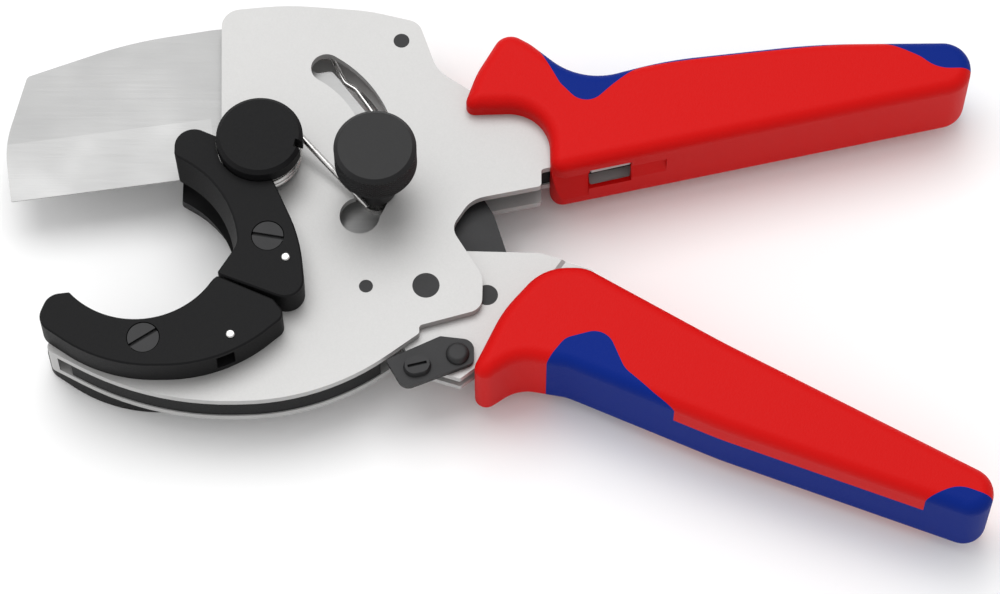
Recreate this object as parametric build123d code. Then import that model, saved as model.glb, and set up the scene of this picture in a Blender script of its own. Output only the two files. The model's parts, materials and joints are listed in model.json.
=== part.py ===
from build123d import *
import math
import os

# Ratchet pipe cutter lying flat: +Z is across the plates, +X runs from the blade to the grips.
# Outlines are drawn about the blade pivot; place() moves them to the row frame, whose origin is
# the axis of the largest pipe, midway between the two frame plates. All sizes are millimetres.

PIPE_R = 20.0                     # largest pipe, 40 mm outside diameter
PIVOT = (27.0, 24.6)              # blade pivot, seen from the pipe's axis
GAP = 3.2                         # mid-plane to a plate's inner face
PLATE_T = 2.0
PLATE_TOP = GAP + PLATE_T
JAW_TOP = 13.4                    # mid-plane to a jaw's outer face
POCKET_Z = (7.0, 12.2)            # lower jaw's side pocket
JAW_EDGE = 0.35                   # chamfer round a jaw's outer face
GRIP_HALF = 10.9                  # half the thickness of a grip

BLADE_T = 2.0
EDGE_START = (-57.5, -11.0, 0)    # the blade's lower tip
EDGE_SLOPE = 10.4                 # degrees
EDGE_HALF = 0.08                  # half thickness left at the cutting edge
BEVEL_WIDTH = 14.4
BEVEL_LENGTH = 56.0
BOSS_R = 9.0
SLEEVE_R = 5.5
BLADE_OPEN_TILT = -2.2            # degrees, the edge just clears the largest pipe
TEETH_R = 36.0
TOOTH_DEPTH = 2.0
TOOTH_STEP = 5.5                  # degrees
TOOTH_COUNT = 15
TIP_SWEEP_R = 60.5                # clear of the blade's far corner at every angle
STRIP_INSET = 0.3
STRIP_WIDTH = 3.2
PAWL_HALF = 1.05
GRIP_EDGE = 3.0
STRIP_TOP = 3.0                   # upper edge of the blue band on a grip's outer side
UNDERSIDE_AT = (69.4, -5.28)      # a point on the upper grip's straight underside
UNDERSIDE_SLOPE = 12.85

SLOT_R = 27.6                     # arc slot's centreline
SLOT_HALF = 3.6
SLOT_FROM, SLOT_TO = -33.0, 58.5  # degrees, centres of the slot's round ends
SLOT_EYE = (22.7, -14.75)         # the slot's wide lower end
SLOT_EYE_R = 4.6
STUD_ORBIT_R = 27.9
KNOB_ANGLE = -16.8
KNOB_R = 9.35
KNOB_Z = (18.4, 27.0)
NECK_R = 4.25
STUD_R = 2.4
STUD_SLEEVE_R = 3.1

CAP_R = 9.9
CAP_Z = (12.6, 16.9)
COIL_R = 8.6                      # spring coil's centreline
WIRE_R = 0.7
COIL_PITCH = 1.5
COIL_TURNS = 2.5
TOP_TURN_Z = 11.3                 # the coil's last turn, just under the cap
LEG_END_Z = 6.0                   # the straight leg slopes down to the plate
WIRE_SPRING_R = 0.65

MAIN_PIN = (38.0, -32.4)          # lower lever's pivot
MAIN_PIN_R = 3.1
PAWL_PIN = (24.4, -32.6)          # holding pawl's pivot
PAWL_PIN_R = 1.6
TOP_RIVET = (31.8, 30.7)
TOP_RIVET_R = 1.85
DRIVE_PIN = (51.8, -33.8)         # drive pawl's pivot, in the lower lever
DRIVE_PIN_R = 2.55
LATCH_PIN = (45.25, -49.2)
LATCH_PIN_R = 1.5

LEVER_IN, LEVER_OUT = 1.2, 3.0    # the lever's flanges, from the mid-plane
LATCH_T = 1.5
RUN = 0.05                        # radial running clearance

UPPER_SCREW, UPPER_SCREW_TURN = (2.3, -23.8), -10.0
LOWER_SCREW, LOWER_SCREW_TURN = (-24.9, -49.0), 34.0
SCREW_HEAD_R = 3.55
SCREW_HEAD_T = 3.0
SCREW_R = 1.5
BOLT_R = 4.0                      # blade pivot bolt's shank
WASHER_T = 1.0
BOLT_HEAD_T = 2.4
HOLE_REACH = 1.0                  # how far cutting tools pass beyond a face
UPPER_DOWEL = (6.5, -29.2)
LOWER_DOWEL = (-5.4, -48.3)
DOWEL_R = 1.05

# Outlines: (x, y, corner radius) about the blade pivot.
FRAME = [
    (-10.4, 38.6, 4.5), (5, 40.2, 60), (24, 38.6, 40), (35.8, 35.6, 4), (40.2, 22.8, 8), (48, 17.4, 4),
    (56, 15.6, 3), (128, 23, 2), (130, 12.2, 2), (64.3, -2.9, 0.8), (64.3, -7.2, 1), (48.2, -10.6, 7),
    (43.6, -17.9, 4),
    (50.9, -30.0, 7), (50.7, -38.3, 3.5), (36.5, -42.4, 1), (36.6, -44.3, 1), (15, -60.6, 55),
    (-23.5, -61.4, 70), (-47.6, -48.2, 1.5), (-45.3, -43.6, 1.5), (-39.5, -43.5, 10), (-27, -50.5, 12),
    (-8, -44.5, 18), (-2.6, -27, 20), (-4.6, -13.6, 12), (-14.5, -4.4, 5), (-13.0, 0.6, 2), (-9.4, 3, 3),
]
TANG_LUG = [(75.2, 0.6, 0), (75.6, -2.9, 0.5), (84.9, -0.6, 0.5), (85.3, 2.9, 0)]
JAW_LOWER = [
    (-8.75, -33.75, 0.7), (3.9, -39.5, 1.6), (7.0, -43.4, 2.4), (-6.9, -55.7, 35), (-33.6, -56.0, 35),
    (-49.1, -45.2, 4), (-46.6, -38.4, 4), (-40, -37.6, 1), (-28.7, -43.5, 2), (-12.5, -36.8, 1),
]
# The upper jaw half's inner wall leans back, so its two faces differ there.
JAW_UPPER_OUTER_WALL = [
    (-9.0, -33.2, 0.7), (4.5, -38.6, 2.2), (11.2, -40.6, 4.2), (9.8, -24.5, 40), (2.6, -8.4, 3),
    (-8.0, 0.6, 0.8),
]
JAW_UPPER_TOP = JAW_UPPER_OUTER_WALL + [
    (-19.55, 5.74, 4.35), (-19.55, -3.3, 1.5), (-6.3, -11.2, 26), (-4.3, -25.6, 5),
]
JAW_UPPER_BASE = JAW_UPPER_OUTER_WALL + [
    (-18.9, 5.45, 4.35), (-18.8, -6.0, 1.0), (-7.5, -12.3, 24), (-5.6, -25.8, 5),
]
BLADE = [
    (-57.5, -11.0, 0.4), (-60.1, 3.0, 28), (-56.5, 21.2, 1.6), (-33, 31.2, 90), (-9, 36.4, 30), (7, 33.6, 6),
    (10.3, 24.6, 1.6), (14.6, 25.4, 1.2), (26.6, 10.6, 18), (33.9, 3.2, 3), (35.0, -2, 1), (30, -6, 0.8),
    (6.0, -30, 0.8), (4.3, -35.2, 0.8), (2.6, -22, 10), (-2, -9.2, 6), (-12.2, -7.2, 3), (-16.4, -3.4, 1.4),
]
LEVER = [
    (29.4, -24.2, 6.5), (41, -22.6, 10), (64.0, -23.2, 2.5), (76, -27.2, 1.5), (80, -36, 4), (134, -67, 2),
    (131, -73, 2), (75, -47, 8), (50, -51.2, 1.5), (45.8, -54.6, 0.8), (35.2, -51.2, 2.5), (28.4, -37.0, 6),
]
DRIVE_PAWL = [
    (57.6, -38.6, 5), (57.0, -24.5, 6), (53.4, -12.6, 6), (47.6, -2.6, 3), (41.6, -1.4, 1), (38.3, -5.6, 0.3),
    (42.4, -11, 3), (46.0, -22, 12), (45.9, -38.6, 5),
]
HOLDING_PAWL = [
    (20.7, -34.2, 2.4), (25.6, -37.4, 3.2), (29.0, -33.2, 2.4), (30.6, -24.6, 1.5), (28.2, -22.9, 0.3),
    (26.4, -27.6, 4), (22.2, -29.9, 1.2),
]
LATCH = [
    (29.1, -50.6, 0.4), (41.3, -44.75, 1), (48.95, -45.7, 2.7), (48.95, -51.3, 2.0), (33.1, -57.7, 2.6),
]
UPPER_GRIP = [
    (46.2, 11.0, 1.9), (49.3, 20, 20), (55.8, 31.5, 4.2), (62, 27.8, 14), (73.6, 17.8, 16), (93, 23.5, 90),
    (128, 27.8, 160), (163.9, 28.2, 6.4), (164.0, 16.2, 6.4), (66.4, -5.95, 3.0), (66.2, 11.6, 9.5),
]
UPPER_INSERT = [
    (62.8, 34, 0), (63.8, 25.8, 3), (68.6, 16.6, 5), (74.5, 10.2, 4.6), (80.8, 16.2, 6), (86.6, 21.1, 8),
    (104, 23.7, 60), (142.6, 28.2, 12), (152.0, 23.6, 8), (156, 20.4, 8), (168, 20.6, 0), (168, 34, 0),
]
UPPER_STRIP = [(120, 25.6, 0), (152, 26.6, 0), (152, 40, 0), (120, 40, 0)]
LOWER_GRIP = [
    (55.4, -40.3, 30), (64.6, -29.6, 12), (74.2, -29.6, 8), (105, -48.2, 150), (164.0, -81.0, 6.0),
    (163.2, -92.0, 5.2), (104, -69.4, 90), (70, -54.2, 12), (59, -52.2, 9), (45.4, -61.6, 2.5),
]
LOWER_INSERT = [
    (64.2, -54.6, 4), (69.4, -48.0, 4), (78.6, -45.4, 4.6), (82.6, -55.4, 6), (89, -61.2, 8),
    (103, -72.0, 0), (138, -89.0, 0), (146.6, -87.2, 5), (155.8, -83.4, 7), (166.5, -87.6, 0),
    (168, -100, 0), (64, -100, 0),
]
LOWER_STRIP = [(80, -57.2, 0), (104, -67.9, 0), (158, -88.5, 0), (158, -100, 0), (80, -100, 0)]


def face_of(corners):
    """A closed face with a rounded corner at each point that has a radius."""
    points = [(x, y) for x, y, r in corners]
    with BuildSketch() as sketch:
        with BuildLine():
            FilletPolyline(*points, radius=[r for x, y, r in corners], close=True)
        make_face()
    return sketch.sketch


def slab(shape, z_low, z_high):
    """A flat face raised from z_low to z_high."""
    return extrude(Pos(0, 0, z_low) * shape, z_high - z_low, dir=(0, 0, 1))


def disc(centre, radius, z_low, z_high):
    """A round bar along Z."""
    return Pos(centre[0], centre[1], (z_low + z_high) / 2) * Cylinder(radius, z_high - z_low)


def polar(radius, degrees):
    """A point about the blade pivot."""
    angle = math.radians(degrees)
    return (radius * math.cos(angle), radius * math.sin(angle))


def slot_face(radius, half, start, stop):
    """An arc slot about the blade pivot, with round ends."""
    inner, outer = radius - half, radius + half
    middle = (start + stop) / 2
    with BuildSketch() as sketch:
        with BuildLine():
            ThreePointArc(polar(outer, start), polar(outer, middle), polar(outer, stop))
            ThreePointArc(polar(outer, stop), polar(radius, stop + math.degrees(half / radius)),
                          polar(inner, stop))
            ThreePointArc(polar(inner, stop), polar(inner, middle), polar(inner, start))
            ThreePointArc(polar(inner, start), polar(radius, start - math.degrees(half / radius)),
                          polar(outer, start))
        make_face()
    return sketch.sketch


PIPE_CENTRE = (-PIVOT[0], -PIVOT[1])
KNOB_AT = polar(STUD_ORBIT_R, KNOB_ANGLE)


def frame_plate():
    """One side plate, with its arc slot and rivet holes."""
    plate = slab(face_of(FRAME) + face_of(TANG_LUG), GAP, PLATE_TOP)
    plate -= disc(PIPE_CENTRE, PIPE_R + 0.6, 0, JAW_TOP)
    plate -= slab(slot_face(SLOT_R, SLOT_HALF, SLOT_FROM, SLOT_TO), 0, JAW_TOP)
    holes = [((0, 0), BOLT_R), (SLOT_EYE, SLOT_EYE_R), (MAIN_PIN, MAIN_PIN_R), (PAWL_PIN, PAWL_PIN_R),
             (TOP_RIVET, TOP_RIVET_R), (UPPER_SCREW, SCREW_R), (LOWER_SCREW, SCREW_R),
             (UPPER_DOWEL, DOWEL_R), (LOWER_DOWEL, DOWEL_R)]
    for centre, radius in holes:
        plate -= disc(centre, radius, 0, JAW_TOP)
    return plate


def jaw(base, top, screw, dowel):
    """A front jaw half: its cradle is part of the pipe's own circle."""
    body = loft([Pos(0, 0, PLATE_TOP) * face_of(base), Pos(0, 0, JAW_TOP) * face_of(top)], ruled=True)
    body = chamfer(body.faces().sort_by(Axis.Z)[-1].edges(), JAW_EDGE)
    over = JAW_TOP + HOLE_REACH
    body -= disc(PIPE_CENTRE, PIPE_R, 0, over)
    body -= disc(screw, SCREW_HEAD_R + 0.2, JAW_TOP - SCREW_HEAD_T, over)
    body -= disc(screw, SCREW_R, 0, JAW_TOP)
    body -= disc(dowel, DOWEL_R, 0, over)
    return body


def lower_jaw():
    """The lower half has a small pocket in its outer wall."""
    pocket = Pos(-6.5, -53.0, (POCKET_Z[0] + POCKET_Z[1]) / 2) * Box(4.0, 6.0, POCKET_Z[1] - POCKET_Z[0])
    return jaw(JAW_LOWER, JAW_LOWER, LOWER_SCREW, LOWER_DOWEL) - pocket


def upper_jaw():
    """The upper half is hollowed round the spring cap."""
    body = jaw(JAW_UPPER_BASE, JAW_UPPER_TOP, UPPER_SCREW, UPPER_DOWEL)
    return body - disc((0, 0), CAP_R + 0.3, 0, JAW_TOP + HOLE_REACH)


def jaw_screw(centre, turn):
    """A slotted cheese-head screw, threaded into the plate."""
    top = JAW_TOP - 0.15
    seat = JAW_TOP - SCREW_HEAD_T
    screw = disc(centre, SCREW_HEAD_R, seat, top) + disc(centre, SCREW_R, GAP + 0.1, seat)
    slot = Pos(centre[0], centre[1], top) * Rot(0, 0, turn) * Box(2 * SCREW_HEAD_R + 1, 0.9, 1.8)
    return screw - slot


def jaw_dowel(centre):
    """A dowel pin with a domed end that stands just proud of the jaw."""
    pin = disc(centre, DOWEL_R, GAP + 0.1, JAW_TOP + 0.5)
    return fillet(pin.faces().sort_by(Axis.Z)[-1].edges(), 0.45)


def bevel_cut(side):
    """What grinding takes off one face, from the bevel line down to the edge."""
    section = make_face(Polyline((BEVEL_WIDTH, side * BLADE_T / 2), (-1, side * EDGE_HALF),
                                 (-1, side * BLADE_T), (BEVEL_WIDTH, side * BLADE_T), close=True))
    wedge = extrude(Plane.YZ * section, BEVEL_LENGTH, dir=(1, 0, 0))
    return Pos(*EDGE_START) * Rot(0, 0, EDGE_SLOPE) * Pos(-8, 0, 0) * wedge


def blade():
    """One flat plate: a bevelled edge on the left, ratchet teeth round the right."""
    half = BLADE_T / 2
    body = slab(face_of(BLADE), -half, half)
    span = TOOTH_STEP * TOOTH_COUNT
    with BuildSketch() as sector:
        with BuildLine():
            Line((0, 0), polar(TEETH_R, -span))
            ThreePointArc(polar(TEETH_R, -span), polar(TEETH_R, -span / 2), polar(TEETH_R, 0))
            Line(polar(TEETH_R, 0), (0, 0))
        make_face()
    body += slab(sector.sketch, -half, half)
    body += disc((0, 0), BOSS_R, -half, half)
    for i in range(TOOTH_COUNT):
        start = -TOOTH_STEP * i
        notch = make_face(Polyline(
            polar(TEETH_R + 1, start + 0.2), polar(TEETH_R - TOOTH_DEPTH, start),
            polar(TEETH_R + 1, start - TOOTH_STEP * 0.9), close=True))
        body -= slab(notch, -BLADE_T, BLADE_T)
    body -= disc((0, 0), SLEEVE_R + RUN, -BLADE_T, BLADE_T)
    for side in (1, -1):
        body -= bevel_cut(side)
    body = Rot(0, 0, BLADE_OPEN_TILT) * body
    return body - disc(KNOB_AT, STUD_R, -BLADE_T, BLADE_T)


def knob_stud():
    """The steel stud riveted to the blade, through the arc slot, up into the knob."""
    foot = disc(KNOB_AT, 4.2, BLADE_T / 2, BLADE_T / 2 + 1.4)
    return foot + disc(KNOB_AT, STUD_R, -BLADE_T / 2, KNOB_Z[0] + 5)


def knob_neck():
    """The collar between the plate and the knob, with a narrow sleeve down through the slot."""
    collar = disc(KNOB_AT, NECK_R, PLATE_TOP + 0.3, KNOB_Z[0])
    sleeve = disc(KNOB_AT, STUD_SLEEVE_R, BLADE_T / 2 + 1.4, PLATE_TOP + 0.3)
    return collar + sleeve - disc(KNOB_AT, STUD_R, 0, KNOB_Z[1])


def knurled_knob():
    """The turned knob with its chamfered rims."""
    knob = disc(KNOB_AT, KNOB_R, *KNOB_Z)
    knob = chamfer(knob.faces().sort_by(Axis.Z)[-1].edges(), 0.9)
    knob = chamfer(knob.faces().sort_by(Axis.Z)[0].edges(), 0.7)
    return knob - disc(KNOB_AT, STUD_R, 0, KNOB_Z[0] + 5)


def pivot_bolt():
    """Shouldered bolt through both plates, up into the spring cap."""
    seat = -PLATE_TOP - WASHER_T
    head = disc((0, 0), 6.6, seat - BOLT_HEAD_T, seat)
    head = chamfer(head.faces().sort_by(Axis.Z)[0].edges(), 0.5)
    drive = extrude(Pos(0, 0, seat - BOLT_HEAD_T) * RegularPolygon(2.6, 6), 1.6, dir=(0, 0, 1))
    return head + disc((0, 0), BOLT_R, seat, CAP_Z[1] - 2.0) - drive


def pivot_sleeve():
    """The bush the blade turns on, clamped between the plates."""
    return disc((0, 0), SLEEVE_R, -GAP, GAP) - disc((0, 0), BOLT_R, -GAP, GAP)


def pivot_washer():
    """Washer under the bolt's head."""
    return disc((0, 0), 7.6, -PLATE_TOP - WASHER_T, -PLATE_TOP) - disc((0, 0), BOLT_R, -JAW_TOP, 0)


def spring_cap():
    """The cap that covers the spring: a rim with one notch, and a hub inside the coil."""
    cap = disc((0, 0), CAP_R, *CAP_Z)
    cap = chamfer(cap.faces().sort_by(Axis.Z)[-1].edges(), 0.9)
    cap += disc((0, 0), COIL_R - WIRE_R - 0.5, PLATE_TOP, CAP_Z[0])
    cap -= disc((0, 0), BOLT_R, 0, CAP_Z[1] - 2.0)
    notch = Rot(0, 0, -14) * Pos(CAP_R, 0, (CAP_Z[0] + CAP_Z[1]) / 2) * Box(3.4, 2.0, 6)
    return cap - notch


def spring_coil():
    """The spring's lower turns, resting on the plate."""
    low = PLATE_TOP + WIRE_R + 0.05
    path = Helix(COIL_PITCH, COIL_PITCH * COIL_TURNS, COIL_R, center=(0, 0, low))
    wire = Plane(origin=path @ 0, z_dir=path % 0) * Circle(WIRE_R)
    return sweep(wire, path=path, is_frenet=True)


def spring_leg():
    """The last turn, and the straight leg that slopes down to bear on the neck of the knob."""
    bearing = NECK_R + WIRE_R + 0.05
    heading = KNOB_ANGLE - math.degrees(math.asin((COIL_R + bearing) / STUD_ORBIT_R))
    length = math.sqrt(STUD_ORBIT_R ** 2 - (COIL_R + bearing) ** 2) + 2.0
    leave = heading + 90
    start = Vector(*polar(COIL_R, leave), TOP_TURN_Z)
    end = Vector(*polar(COIL_R, leave), LEG_END_Z) + Vector(*polar(length, heading))
    with BuildLine() as path:
        ThreePointArc((*polar(COIL_R, leave + 300), TOP_TURN_Z), (*polar(COIL_R, leave + 150), TOP_TURN_Z),
                      start)
        Line(start, end)
    wire = path.line
    profile = Plane(origin=wire @ 0, z_dir=wire % 0) * Circle(WIRE_R)
    return sweep(profile, path=wire, transition=Transition.ROUND)


def wire_spring():
    """Bent wire that keeps the holding pawl on the teeth, lying behind the blade."""
    level = -(BLADE_T / 2 + 0.2 + WIRE_SPRING_R)
    route = [(35.0, 29.2, level), (34.6, 34.0, level), (28.8, 33.8, level), (10.6, 33.0, level),
             (10.9, 29.7, level), (15.2, 30.1, level), (18.5, 23.3, level), (21.2, 21.5, level),
             (25.3, 15.3, level), (30.2, 3.0, level), (32.6, -12.0, level), (30.4, -21.4, level)]
    wire = FilletPolyline(*route, radius=[1.6, 10, 1.3, 1.2, 1.4, 2.0, 2.4, 10, 14, 8])
    profile = Plane(origin=wire @ 0, z_dir=wire % 0) * Circle(WIRE_SPRING_R)
    return sweep(profile, path=wire)


def pin(centre, radius, z_low, z_high, head_r=0.0, head=0.0):
    """A plain pin, or one with a head at its upper end."""
    body = disc(centre, radius, z_low, z_high)
    if head:
        body += disc(centre, head_r, z_high, z_high + head)
    return body


def lever_flange():
    """One side of the folded lever."""
    flange = slab(face_of(LEVER), LEVER_IN, LEVER_OUT)
    flange -= disc(MAIN_PIN, MAIN_PIN_R + RUN, 0, GAP)
    flange -= disc(DRIVE_PIN, DRIVE_PIN_R, 0, GAP)
    flange -= disc(LATCH_PIN, LATCH_PIN_R, 0, GAP)
    joggle = make_face(Polyline((0, LEVER_OUT), (0.9, 2.3), (30, 2.3), (30, GAP), (0, GAP), close=True))
    joggle = extrude(Plane.XZ * joggle, 40, both=True)
    return flange - Pos(68.6, -25.3, 0) * Rot(0, 0, -34.5) * joggle


def lower_lever():
    """Two flanges joined by a web along the far side of the grip."""
    web_line = [(84, -50.6, 0), (127, -70.6, 0), (128.4, -67.5, 0), (85.4, -47.5, 0)]
    return lever_flange() + lever_flange().mirror(Plane.XY) + slab(face_of(web_line), -LEVER_IN, LEVER_IN)


def drive_pawl():
    """The plate that pushes the teeth, on its rivet in the lever."""
    body = slab(face_of(DRIVE_PAWL), -PAWL_HALF, PAWL_HALF)
    return body - disc(DRIVE_PIN, DRIVE_PIN_R + RUN, -GAP, GAP)


def holding_pawl():
    """The pawl that stops the blade from opening between strokes."""
    body = slab(face_of(HOLDING_PAWL), -PAWL_HALF, PAWL_HALF)
    return body - disc(PAWL_PIN, PAWL_PIN_R + RUN, -GAP, GAP)


def handle_spring():
    """Hairpin of wire round the main pivot that opens the handles, between the lever's flanges."""
    x, y = MAIN_PIN
    reach = MAIN_PIN_R + 0.3 + WIRE_SPRING_R
    with BuildLine() as path:
        Line((x - reach, y - 10), (x - reach, y))
        ThreePointArc((x - reach, y), (x, y + reach), (x + reach, y))
        Line((x + reach, y), (x + reach, y - 9))
    wire = path.line
    profile = Plane(origin=wire @ 0, z_dir=wire % 0) * Circle(WIRE_SPRING_R)
    return sweep(profile, path=wire)


def latch():
    """The sheet latch, with a raised thumb nub that has a slit along it."""
    body = slab(face_of(LATCH), LEVER_OUT + 0.05, LEVER_OUT + 0.05 + LATCH_T)
    top = LEVER_OUT + 0.05 + LATCH_T
    nub = extrude(SlotOverall(6.4, 5.0), 1.5, taper=14)
    nub -= Pos(0, 0, 1.3) * Box(4.4, 0.7, 1.4)
    body += Pos(36.2, -52.3, top - 0.01) * Rot(0, 0, 14) * nub
    return body - disc(LATCH_PIN, LATCH_PIN_R + RUN, 0, JAW_TOP)


def latch_rivet():
    """The rivet the latch turns on, with a domed head."""
    top = LEVER_OUT + 0.1 + LATCH_T
    head = disc(LATCH_PIN, 2.65, top, top + 1.3)
    head = fillet(head.faces().sort_by(Axis.Z)[-1].edges(), 1.1)
    return head + disc(LATCH_PIN, LATCH_PIN_R, LEVER_IN, top)


def spacer_strip():
    """The dark strip between the plates along the lower edge, thinned where the blade sweeps past."""
    inset = slab(offset(face_of(FRAME), -STRIP_INSET), -GAP, GAP)
    outer = (inset - disc((0, 0), TIP_SWEEP_R, -GAP, GAP)) & Pos(-22.0, -55, 0) * Box(40, 30, 2 * GAP)
    inner = inset - slab(offset(face_of(FRAME), -STRIP_INSET - STRIP_WIDTH), -GAP, GAP)
    return outer + (inner & Pos(12.2, -57, 0) * Box(31, 20, 2 * GAP))


def tip_spacer():
    """The metal block between the plates at the open end of the lower jaw."""
    body = slab(face_of(FRAME), -GAP, GAP) & Pos(-47.0, -47, 0) * Box(4.0, 12, 2 * GAP)
    return body - disc((0, 0), TIP_SWEEP_R, -GAP, GAP)


def tang_spacer():
    """The block between the plates' tangs, inside the upper grip."""
    body = slab(offset(face_of(FRAME), -0.4), -GAP, GAP)
    return body & Pos(96.4, 8, 0) * Box(64, 60, 2 * GAP)


def grip_solid(corners):
    """A grip's full shape, rounded all along both faces."""
    body = slab(face_of(corners), -GRIP_HALF, GRIP_HALF)
    rims = body.faces().sort_by(Axis.Z)
    return fillet(rims[0].edges() + rims[-1].edges(), GRIP_EDGE)


def recess_wedge(start, length, depth, lip, run_out):
    """A hollow in a flat underside: deepest at the lip, running out to nothing across the grip."""
    section = make_face(Polyline((-1, lip), (depth, lip), (0, run_out), (-1, run_out), close=True))
    return Pos(start, 0, 0) * extrude(Plane.YZ * section, length, dir=(1, 0, 0))


def underside_recess():
    """The hollow under the upper grip's root, with a window on to the plates' lug."""
    hollow = recess_wedge(-6.0, 12.2, 2.2, 5.2, -6.0)
    hollow += Pos(11.2, 1.0, 1.75) * Box(10.1, 4.0, 9.1)
    hollow += recess_wedge(16.2, 8.3, 1.2, 4.3, -1.5)
    return Pos(*UNDERSIDE_AT, 0) * Rot(0, 0, UNDERSIDE_SLOPE) * hollow


def insert_solid(corners, strip):
    """The room a blue insert takes: a shaped panel, and a band along the grip's outer side."""
    return slab(face_of(corners), -GRIP_HALF, GRIP_HALF) + slab(face_of(strip), -GRIP_HALF, STRIP_TOP)


def upper_grip_parts():
    """Red body and blue insert of the upper grip, with the plates' tangs let in."""
    whole = grip_solid(UPPER_GRIP)
    whole -= slab(face_of(FRAME) + face_of(TANG_LUG), -PLATE_TOP, PLATE_TOP)
    blue = insert_solid(UPPER_INSERT, UPPER_STRIP)
    return whole - blue - underside_recess(), whole & blue


def lower_grip_parts():
    """Red body and blue insert of the lower grip, with the lever let in."""
    whole = grip_solid(LOWER_GRIP)
    whole -= slab(face_of(LEVER), -LEVER_OUT, LEVER_OUT)
    blue = insert_solid(LOWER_INSERT, LOWER_STRIP)
    return whole - blue, whole & blue


def place(solids):
    """Moves a node's solids from the blade pivot's frame to the row frame."""
    solids = solids if isinstance(solids, list) else [solids]
    moved = [Pos(*PIVOT, 0) * solid for item in solids for solid in item.solids()]
    return moved[0] if len(moved) == 1 else Compound(children=moved)


def nodes():
    """Every sub-part by name."""
    upper_red, upper_blue = upper_grip_parts()
    lower_red, lower_blue = lower_grip_parts()
    front_plate = frame_plate()
    lower_front, upper_front = lower_jaw(), upper_jaw()
    screws = [jaw_screw(UPPER_SCREW, UPPER_SCREW_TURN), jaw_screw(LOWER_SCREW, LOWER_SCREW_TURN)]
    dowels = [jaw_dowel(UPPER_DOWEL), jaw_dowel(LOWER_DOWEL)]
    return {
        "front_plate": front_plate,
        "rear_plate": front_plate.mirror(Plane.XY),
        "spacer_strip": spacer_strip(),
        "tip_spacer": tip_spacer(),
        "tang_spacer": tang_spacer(),
        "frame_rivet": pin(TOP_RIVET, TOP_RIVET_R, -PLATE_TOP, PLATE_TOP),
        "main_rivet": pin(MAIN_PIN, MAIN_PIN_R, -PLATE_TOP, PLATE_TOP),
        "holding_pawl_rivet": pin(PAWL_PIN, PAWL_PIN_R, -PLATE_TOP, PLATE_TOP),
        "blade": blade(),
        "pivot_bolt": pivot_bolt(),
        "pivot_sleeve": pivot_sleeve(),
        "pivot_washer": pivot_washer(),
        "spring_cap": spring_cap(),
        "spring_coil": spring_coil(),
        "spring_leg": spring_leg(),
        "knob_stud": knob_stud(),
        "knob_neck": knob_neck(),
        "knurled_knob": knurled_knob(),
        "lower_jaw_front": lower_front,
        "upper_jaw_front": upper_front,
        "lower_jaw_rear": lower_front.mirror(Plane.XY),
        "upper_jaw_rear": upper_front.mirror(Plane.XY),
        "jaw_screws_front": screws,
        "jaw_screws_rear": [screw.mirror(Plane.XY) for screw in screws],
        "jaw_dowels_front": dowels,
        "jaw_dowels_rear": [dowel.mirror(Plane.XY) for dowel in dowels],
        "wire_spring": wire_spring(),
        "holding_pawl": holding_pawl(),
        "drive_pawl": drive_pawl(),
        "drive_pawl_rivet": pin(DRIVE_PIN, DRIVE_PIN_R, -LEVER_OUT, LEVER_OUT),
        "lower_lever": lower_lever(),
        "handle_spring": handle_spring(),
        "latch": latch(),
        "latch_rivet": latch_rivet(),
        "upper_grip": upper_red,
        "upper_grip_insert": upper_blue,
        "lower_grip": lower_red,
        "lower_grip_insert": lower_blue,
    }


os.makedirs("parts", exist_ok=True)
for name, solids in nodes().items():
    export_step(place(solids), f"parts/{name}.step")
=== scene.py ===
import bpy
import json
import math
import numpy as np
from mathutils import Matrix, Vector


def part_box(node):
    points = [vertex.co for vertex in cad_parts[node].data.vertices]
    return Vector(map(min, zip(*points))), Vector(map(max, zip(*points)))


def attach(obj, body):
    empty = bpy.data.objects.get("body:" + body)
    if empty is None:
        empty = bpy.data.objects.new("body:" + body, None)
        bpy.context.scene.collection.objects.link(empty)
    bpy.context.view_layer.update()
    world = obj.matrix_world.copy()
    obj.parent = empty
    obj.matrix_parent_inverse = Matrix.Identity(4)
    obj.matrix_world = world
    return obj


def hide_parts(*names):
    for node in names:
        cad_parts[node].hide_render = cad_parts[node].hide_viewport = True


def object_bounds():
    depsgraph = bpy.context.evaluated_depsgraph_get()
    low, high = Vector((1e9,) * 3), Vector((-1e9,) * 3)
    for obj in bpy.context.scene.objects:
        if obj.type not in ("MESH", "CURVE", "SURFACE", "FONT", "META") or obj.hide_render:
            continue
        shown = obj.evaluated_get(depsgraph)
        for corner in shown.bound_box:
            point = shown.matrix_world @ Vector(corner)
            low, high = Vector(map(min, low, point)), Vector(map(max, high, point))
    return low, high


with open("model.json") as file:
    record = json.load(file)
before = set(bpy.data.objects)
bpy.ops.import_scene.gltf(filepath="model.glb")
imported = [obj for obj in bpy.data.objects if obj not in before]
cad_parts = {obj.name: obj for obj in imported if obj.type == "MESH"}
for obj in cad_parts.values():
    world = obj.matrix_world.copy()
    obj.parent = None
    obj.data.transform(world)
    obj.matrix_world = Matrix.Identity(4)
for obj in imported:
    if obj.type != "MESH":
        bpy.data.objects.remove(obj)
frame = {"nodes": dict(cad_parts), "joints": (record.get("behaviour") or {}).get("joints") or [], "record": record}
cad_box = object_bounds()

MM = 0.001
JOINTS = {joint["name"]: joint for joint in frame["joints"]}
PIVOT = Vector(JOINTS["blade_pivot"]["pos_m"])

GRAIN_TURN = math.radians(-8.4)        # turns the noise after its stretch, so the grain itself stays along X
BEVEL_TILT = (0.9985, 0.9995)          # |normal z| under the first is bevel, over the second is flat; this sets where the painted bevel highlight falls

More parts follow.
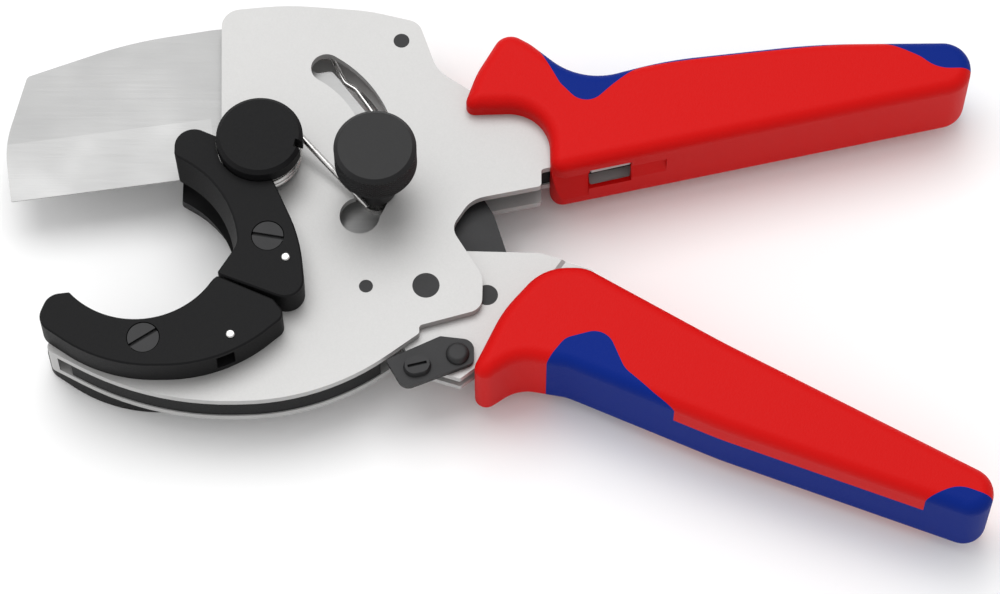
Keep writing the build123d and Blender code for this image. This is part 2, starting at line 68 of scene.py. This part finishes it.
KNURL_TEETH = 62
KNURL_DEPTH = 0.32 * MM
KNURL_FADE = 0.4 * MM                  # the knurl dies out over this height at each rim
KNURL_SHARPNESS = 0.7
TOP_CHAMFER, BOTTOM_CHAMFER = 0.9 * MM, 0.7 * MM
RIM_WIDTH, RIM_HEIGHT = 0.06 * MM, 0.02 * MM    # the small break at the knob's top rim
POINTS_PER_TOOTH = 8
KNURL_RINGS = 44

FLOOR_HALF = 1.6
SKY_STRENGTH = 0.72
CAMERA_DISTANCE = 0.9
CAMERA_ELEVATION = math.radians(65)
CAMERA_LENS, CAMERA_SENSOR = 143.2, 36             # millimetres
CAMERA_TARGET = Vector((54.8, -35.7, 6.0)) * MM    # measured from the blade pivot


# Materials: each is procedural, on object coordinates in metres.

class Nodes:
    """A short way to build a node tree."""

    def __init__(self, name):
        self.material = bpy.data.materials.new(name)
        self.material.use_nodes = True
        self.tree = self.material.node_tree
        self.shader = self.tree.nodes["Principled BSDF"]
        self.coords = self.add("ShaderNodeTexCoord").outputs["Object"]

    def add(self, kind, **settings):
        node = self.tree.nodes.new(kind)
        for key, value in settings.items():
            setattr(node, key, value)
        return node

    def link(self, source, target):
        self.tree.links.new(source, target)

    def stretched(self, scale, turn=(0, 0, 0)):
        """Object coordinates, stretched along their own axes and then turned."""
        mapping = self.add("ShaderNodeMapping")
        mapping.inputs["Rotation"].default_value = turn
        mapping.inputs["Scale"].default_value = scale
        self.link(self.coords, mapping.inputs["Vector"])
        return mapping.outputs["Vector"]

    def noise(self, vector, scale, detail=3.0, roughness=0.55):
        node = self.add("ShaderNodeTexNoise")
        node.inputs["Scale"].default_value = scale
        node.inputs["Detail"].default_value = detail
        node.inputs["Roughness"].default_value = roughness
        self.link(vector, node.inputs["Vector"])
        return node.outputs["Fac"]

    def voronoi(self, vector, scale, feature="F1"):
        node = self.add("ShaderNodeTexVoronoi", feature=feature)
        node.inputs["Scale"].default_value = scale
        self.link(vector, node.inputs["Vector"])
        return node.outputs["Distance"]

    def span(self, value, low, high, start=0.3, end=0.7):
        """Maps a value from start..end to low..high."""
        node = self.add("ShaderNodeMapRange")
        node.inputs["From Min"].default_value = start
        node.inputs["From Max"].default_value = end
        node.inputs["To Min"].default_value = low
        node.inputs["To Max"].default_value = high
        self.link(value, node.inputs["Value"])
        return node.outputs["Result"]

    def ramp(self, value, colours, start=0.3, end=0.7):
        """A colour ramp between two or more colours."""
        node = self.add("ShaderNodeValToRGB")
        elements = node.color_ramp.elements
        elements[0].position, elements[0].color = start, (*colours[0], 1)
        elements[1].position, elements[1].color = end, (*colours[-1], 1)
        for i, colour in enumerate(colours[1:-1], 1):
            place = start + (end - start) * i / (len(colours) - 1)
            elements.new(place).color = (*colour, 1)
        self.link(value, node.inputs["Fac"])
        return node.outputs["Color"]

    def add_values(self, first, second, weight):
        """first + weight * second."""
        node = self.add("ShaderNodeMath", operation="MULTIPLY_ADD")
        self.link(second, node.inputs[0])
        node.inputs[1].default_value = weight
        self.link(first, node.inputs[2])
        return node.outputs["Value"]

    def painted_tilt_highlight(self):
        """A painted highlight mask: one on faces that tilt away from the flat, such as the bevel, and zero on the
        flat.
        """
        normal = self.add("ShaderNodeNewGeometry").outputs["Normal"]
        split = self.add("ShaderNodeSeparateXYZ")
        self.link(normal, split.inputs["Vector"])
        level = self.add("ShaderNodeMath", operation="ABSOLUTE")
        self.link(split.outputs["Z"], level.inputs[0])
        return self.span(level.outputs["Value"], 1.0, 0.0, *BEVEL_TILT)

    def bump(self, height, distance, strength=1.0):
        node = self.add("ShaderNodeBump")
        node.inputs["Strength"].default_value = strength
        node.inputs["Distance"].default_value = distance
        self.link(height, node.inputs["Height"])
        self.link(node.outputs["Normal"], self.shader.inputs["Normal"])

    def set(self, **values):
        """Constants on the shader's own sockets."""
        for key, value in values.items():
            self.shader.inputs[key.replace("_", " ")].default_value = value

    def wire(self, **sources):
        for key, source in sources.items():
            self.link(source, self.shader.inputs[key.replace("_", " ")])


def plated_steel():
    """Satin nickel plate: a fine blasted grain with faint cloudiness."""
    m = Nodes("plated_steel_satin")
    cloud = m.noise(m.coords, 55, 2)
    grain = m.noise(m.coords, 2600, 2, 0.7)
    tone = m.add_values(cloud, grain, 0.35)
    shades = [(0.41, 0.408, 0.403), (0.455, 0.452, 0.447), (0.50, 0.497, 0.492)]
    m.wire(Base_Color=m.ramp(tone, shades, 0.45, 0.95), Roughness=m.span(cloud, 0.40, 0.50))
    m.set(Metallic=0.35)
    m.bump(grain, 0.00003, 0.5)
    return m.material


def blade_steel():
    """Ground steel: fine scratches along X, about 8 degrees off the edge, and a painted highlight that lightens
    the bevel and the other tilted faces.
    """
    m = Nodes("blade_steel_ground")
    along = m.stretched((60, 2600, 400), (0, 0, GRAIN_TURN))
    scratches = m.noise(along, 1.0, 4, 0.6)
    cloud = m.noise(m.coords, 40, 2)
    # painted highlight: faces tilted away from the flat, such as the bevel and the side walls, get a lighter
    # colour
    tone = m.add_values(m.add_values(cloud, scratches, 0.5), m.painted_tilt_highlight(), 0.12)
    shades = [(0.28, 0.28, 0.279), (0.35, 0.35, 0.348), (0.40, 0.40, 0.398)]
    m.wire(Base_Color=m.ramp(tone, shades, 0.5, 1.3), Roughness=m.span(scratches, 0.33, 0.46))
    m.set(Metallic=0.4)
    m.bump(scratches, 0.00002, 0.5)
    return m.material


def spring_steel():
    """Drawn wire and turned pins: bright, with fine draw marks."""
    m = Nodes("spring_steel_bright")
    marks = m.noise(m.stretched((900, 900, 2400)), 1.0, 3)
    shades = [(0.52, 0.51, 0.50), (0.72, 0.71, 0.70)]
    m.wire(Base_Color=m.ramp(marks, shades), Roughness=m.span(marks, 0.2, 0.34))
    m.set(Metallic=1.0)
    m.bump(marks, 0.00001, 0.4)
    return m.material


def dark_steel():
    """Blackened steel: satin, slightly mottled, a little lighter in patches."""
    m = Nodes("dark_steel_satin")
    mottle = m.noise(m.coords, 420, 4, 0.65)
    wear = m.noise(m.coords, 90, 3)
    tone = m.add_values(mottle, wear, 0.6)
    shades = [(0.018, 0.018, 0.019), (0.033, 0.033, 0.034)]
    m.wire(Base_Color=m.ramp(tone, shades, 0.5, 1.1), Roughness=m.span(mottle, 0.42, 0.56))
    m.set(Metallic=0.25, Specular_IOR_Level=0.25)
    m.bump(mottle, 0.00002, 0.6)
    return m.material


def moulded(name, dark, light, roughness, grain_scale, depth, **constants):
    """A fine, even grain, for plastic, rubber and the knob's coated metal."""
    m = Nodes(name)
    cells = m.voronoi(m.coords, grain_scale)
    fine = m.noise(m.coords, grain_scale * 1.6, 2, 0.7)
    cloud = m.noise(m.coords, 60, 3)
    height = m.add_values(cells, fine, 0.8)
    tone = m.add_values(cloud, fine, 1.6)
    m.wire(Base_Color=m.ramp(tone, [dark, light], 1.0, 1.6),
           Roughness=m.span(fine, roughness - 0.05, roughness + 0.07))
    m.set(**constants)
    m.bump(height, depth, 0.7)
    return m.material


def black_plastic():
    return moulded("black_plastic_grain", (0.007, 0.007, 0.0075), (0.012, 0.012, 0.0125), 0.55, 2200, 0.00002,
                   Specular_IOR_Level=0.12)


def black_metal():
    return moulded("black_metal_satin", (0.009, 0.009, 0.0095), (0.015, 0.015, 0.0155), 0.45, 3000, 0.00001,
                   Specular_IOR_Level=0.25)


def red_grip():
    return moulded("red_grip_grain", (0.58, 0.002, 0.0015), (0.86, 0.016, 0.013), 0.52, 2600, 0.00005,
                   Specular_IOR_Level=0.12)


def blue_grip():
    return moulded("blue_grip_grain", (0.001, 0.017, 0.20), (0.006, 0.048, 0.40), 0.55, 2600, 0.00005,
                   Specular_IOR_Level=0.08)


MATERIALS = {
    "plated_steel": plated_steel(),
    "blade_steel": blade_steel(),
    "spring_steel": spring_steel(),
    "dark_steel": dark_steel(),
    "black_metal": black_metal(),
    "black_plastic": black_plastic(),
    "red_grip": red_grip(),
    "blue_grip": blue_grip(),
}


def dress_cad_nodes():
    """Every CAD node takes the material of its slot."""
    for entry in frame["record"]["subparts"]:
        node = frame["nodes"][entry["node"]]
        for slot in node.material_slots:
            slot.material = MATERIALS[entry["material_slot"]]


# Pieces

def new_piece(name, points, faces, slot, body, smooth=True):
    """A mesh piece that rides on a body and takes a slot's material."""
    mesh = bpy.data.meshes.new(name)
    mesh.from_pydata([tuple(p) for p in points], [], faces)
    mesh.validate()
    mesh.polygons.foreach_set("use_smooth", [smooth] * len(mesh.polygons))
    mesh.materials.append(MATERIALS[slot])
    piece = bpy.data.objects.new(name, mesh)
    bpy.context.collection.objects.link(piece)
    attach(piece, body)
    return piece


def ring_surface(rings):
    """Quads between closed rings of equal count, with an n-gon at each end."""
    count = len(rings[0])
    points = [p for ring in rings for p in ring]
    faces = []
    for i in range(len(rings) - 1):
        for j in range(count):
            k = (j + 1) % count
            faces.append((i * count + j, i * count + k, (i + 1) * count + k, (i + 1) * count + j))
    faces.append(tuple(reversed(range(count))))
    last = (len(rings) - 1) * count
    faces.append(tuple(last + j for j in range(count)))
    return points, faces


def knurled_knob():
    """The knob, with a real diamond knurl cut round its side."""
    low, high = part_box("knurled_knob")
    centre = (Vector(low) + Vector(high)) / 2
    radius = (high[0] - low[0]) / 2
    around = KNURL_TEETH * POINTS_PER_TOOTH
    pitch = 2 * math.pi * radius / KNURL_TEETH
    z0, z1 = low[2] + BOTTOM_CHAMFER, high[2] - TOP_CHAMFER
    angles = np.linspace(0, 2 * math.pi, around, endpoint=False)

    def ring(r, z):
        return [(centre.x + rr * math.cos(a), centre.y + rr * math.sin(a), z) for a, rr in zip(angles, r)]

    flat = np.full(around, 1.0)
    rings = [ring(flat * (radius - BOTTOM_CHAMFER), low[2])]
    for z in np.linspace(z0, z1, KNURL_RINGS):
        rise = 2 * math.pi * (z - z0) / pitch
        left = np.abs(np.sin((KNURL_TEETH * angles + rise) / 2))
        right = np.abs(np.sin((KNURL_TEETH * angles - rise) / 2))
        fade = min(1.0, (z - z0) / KNURL_FADE, (z1 - z) / KNURL_FADE)
        groove = 1 - np.minimum(left, right) ** KNURL_SHARPNESS
        rings.append(ring(radius - KNURL_DEPTH * groove * max(fade, 0), z))
    rings.append(ring(flat * (radius - TOP_CHAMFER), high[2] - RIM_HEIGHT))
    rings.append(ring(flat * (radius - TOP_CHAMFER - RIM_WIDTH), high[2]))
    points, faces = ring_surface(rings)
    piece = new_piece("knurled_head", points, faces, "black_metal", "blade_carrier", smooth=False)
    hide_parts("knurled_knob")


# Stage

def make_floor():
    """A plain pale floor, level with the lowest point."""
    z = cad_box[0].z
    half = FLOOR_HALF
    mesh = bpy.data.meshes.new("floor")
    corners = [(-half, -half, z), (half, -half, z), (half, half, z), (-half, half, z)]
    mesh.from_pydata(corners, [], [(0, 1, 2, 3)])
    floor = bpy.data.objects.new("floor", mesh)
    bpy.context.collection.objects.link(floor)
    m = Nodes("floor_white")
    m.wire(Base_Color=m.ramp(m.noise(m.coords, 6, 2), [(0.93, 0.93, 0.93), (0.95, 0.95, 0.95)]))
    m.set(Roughness=0.55)
    mesh.materials.append(m.material)


def area_light(name, offset, size, power, target):
    """A soft rectangular light aimed at the object."""
    light = bpy.data.lights.new(name, "AREA")
    light.shape = "RECTANGLE"
    light.size, light.size_y = size
    light.energy = power
    lamp = bpy.data.objects.new(name, light)
    lamp.location = target + Vector(offset)
    lamp.rotation_mode = "QUATERNION"
    lamp.rotation_quaternion = (-Vector(offset)).to_track_quat("-Z", "Y")
    bpy.context.collection.objects.link(lamp)


def make_lights():
    middle = (cad_box[0] + cad_box[1]) / 2
    area_light("overhead", (-0.15, 0.35, 0.95), (0.9, 0.7), 6.0, middle)
    area_light("left_fill", (-0.9, -0.1, 0.6), (0.7, 0.7), 1.2, middle)
    area_light("front_fill", (0.3, -1.0, 0.5), (0.9, 0.5), 0.1, middle)
    world = bpy.data.worlds.new("soft_sky")
    world.use_nodes = True
    sky = world.node_tree.nodes["Background"]
    sky.inputs["Color"].default_value = (1, 1, 1, 1)
    sky.inputs["Strength"].default_value = SKY_STRENGTH
    bpy.context.scene.world = world


def make_camera():
    """Long lens, square to the row's X axis, 65 degrees above the horizon."""
    target = PIVOT + CAMERA_TARGET
    back = Vector((0, -math.cos(CAMERA_ELEVATION), math.sin(CAMERA_ELEVATION)))
    camera = bpy.data.cameras.new("camera")
    camera.sensor_width = CAMERA_SENSOR
    camera.lens = CAMERA_LENS
    camera.clip_start, camera.clip_end = 0.05, 10
    holder = bpy.data.objects.new("camera", camera)
    holder.location = target + back * CAMERA_DISTANCE
    holder.rotation_mode = "QUATERNION"
    holder.rotation_quaternion = (-back).to_track_quat("-Z", "Y")
    bpy.context.collection.objects.link(holder)
    bpy.context.scene.camera = holder


make_camera()
dress_cad_nodes()
knurled_knob()
make_floor()
make_lights()
scene = bpy.context.scene
scene.view_settings.view_transform = "Standard"
